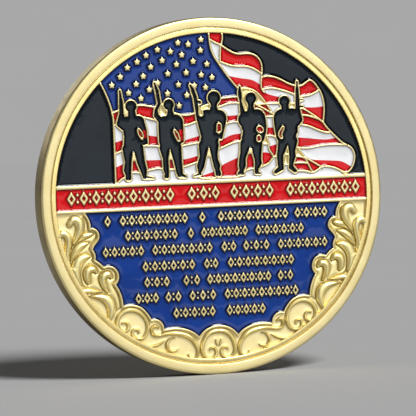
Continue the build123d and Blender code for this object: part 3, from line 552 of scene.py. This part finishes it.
for polygon in rim.data.polygons:
    radius = math.hypot(polygon.center.x, polygon.center.z) / MM
    if radius > COIN_RADIUS - SIDE_BAND:
        polygon.material_index = 1
    elif radius < RIM_INNER - STEP_SLOPE:
        polygon.material_index = 2

CORE_HOLE = 0.5  # keeps the turned core free of a point at its middle, hidden under both faces
core_half = [(CORE_HOLE, POCKET_FLOOR), (LEDGE_INNER, POCKET_FLOOR)]
turned("core", core_half + [(r, -y) for r, y in reversed(core_half)], SATIN, 180)

# Floor, backdrop and lights


def plain(name, low, high):
    """Pale matt paper."""
    material, tree, shader = nodes_of(name)
    tree.links.new(blended(tree, noise(tree, 20.0), low, high), shader.inputs["Base Color"])
    shader.inputs["Roughness"].default_value = 0.9
    shader.inputs["Specular IOR Level"].default_value = 0.0
    return material


PAPER = 0.42  # share of light that the floor gives back
KEY_ENERGY = 3.45
KEY_FROM = Vector((0.26, -0.64, 0.72)).normalized()
SKY = 0.16
SKY_COLOR = (0.80, 0.81, 0.83)
FLOOR_RADIUS = 1.3
FLOOR_SIDES = 96
BACKDROP_RADIUS = 4.0
BACKDROP_HEIGHT = 3.0

bpy.ops.mesh.primitive_circle_add(
    vertices=FLOOR_SIDES, radius=FLOOR_RADIUS, fill_type="NGON", location=(0, 0, -COIN_RADIUS * MM)
)
floor = bpy.context.object
floor.name = "floor"
floor.data.materials.append(plain("floor_paper", (PAPER - 0.01,) * 3, (PAPER + 0.01,) * 3))

# The backdrop goes on from the floor's edge, and glows as brightly as the floor looks in the key light
glow = PAPER * (KEY_ENERGY * KEY_FROM.z / math.pi + SKY_COLOR[1] * SKY)
bpy.ops.mesh.primitive_cone_add(
    vertices=FLOOR_SIDES,
    radius1=FLOOR_RADIUS,
    radius2=BACKDROP_RADIUS,
    depth=BACKDROP_HEIGHT,
    end_fill_type="NOTHING",
    location=(0, 0, BACKDROP_HEIGHT / 2 - COIN_RADIUS * MM),
)
backdrop = bpy.context.object
backdrop.name = "backdrop"
wall_paper = plain("backdrop_paper", (0.0, 0.0, 0.0), (0.01, 0.01, 0.01))
wall_shader = wall_paper.node_tree.nodes["Principled BSDF"]
wall_shader.inputs["Emission Color"].default_value = (glow, glow, glow, 1)
wall_shader.inputs["Emission Strength"].default_value = 1.0
backdrop.data.materials.append(wall_paper)
backdrop.visible_glossy = False
backdrop.visible_diffuse = False
backdrop.visible_shadow = False

world = bpy.data.worlds.new("studio")
bpy.context.scene.world = world
world.use_nodes = True
world.node_tree.nodes["Background"].inputs["Color"].default_value = (*SKY_COLOR, 1)
world.node_tree.nodes["Background"].inputs["Strength"].default_value = SKY


def aimed(name, data, place):
    """A light at a place, looking at the coin."""
    lamp = bpy.data.objects.new(name, data)
    lamp.location = place
    lamp.rotation_euler = (-Vector(place)).to_track_quat("-Z", "Y").to_euler()
    lamp.visible_camera = False
    bpy.context.scene.collection.objects.link(lamp)
    return lamp


key = bpy.data.lights.new("key", "SUN")
key.angle = math.radians(19)
key.energy = KEY_ENERGY
aimed("key", key, KEY_FROM)

# The soft lamps stand close by, and light the coin without a bright patch of floor at their feet
lit = bpy.data.collections.new("lit_by_soft_lamps")
for obj in bpy.context.scene.objects:
    if obj.type == "MESH" and obj not in (floor, backdrop):
        lit.objects.link(obj)


def soft_lamp(name, energy, place):
    """A soft lamp that lights only the coin."""
    data = bpy.data.lights.new(name, "AREA")
    data.shape = "RECTANGLE"
    data.size = 0.36
    data.size_y = 0.30
    data.energy = energy
    aimed(name, data, place).light_linking.receiver_collection = lit


soft_lamp("front", 0.60, (0.137, -0.43, 0.01))
soft_lamp("rear", 0.45, (-0.12, 0.45, 0.22))

# Camera

CAMERA_DISTANCE = 0.300
TOWARD_CAMERA = Vector((-0.30378, -0.95217, 0.03297))
UP = Vector((0.03664, 0.0, 0.99933))
camera_data = bpy.data.cameras.new("camera")
camera_data.sensor_width = 36.0
camera_data.lens = 231.032
camera_data.shift_x = -0.00601
camera_data.shift_y = -0.02964
camera_data.clip_start = 0.01
camera = bpy.data.objects.new("camera", camera_data)
back = TOWARD_CAMERA.normalized()
right = UP.cross(back).normalized()
up = back.cross(right)
axes = Matrix((right, up, back)).transposed().to_4x4()
camera.matrix_world = Matrix.Translation(back * CAMERA_DISTANCE) @ axes
bpy.context.scene.collection.objects.link(camera)
bpy.context.scene.camera = camera
bpy.context.scene.view_settings.view_transform = "Standard"
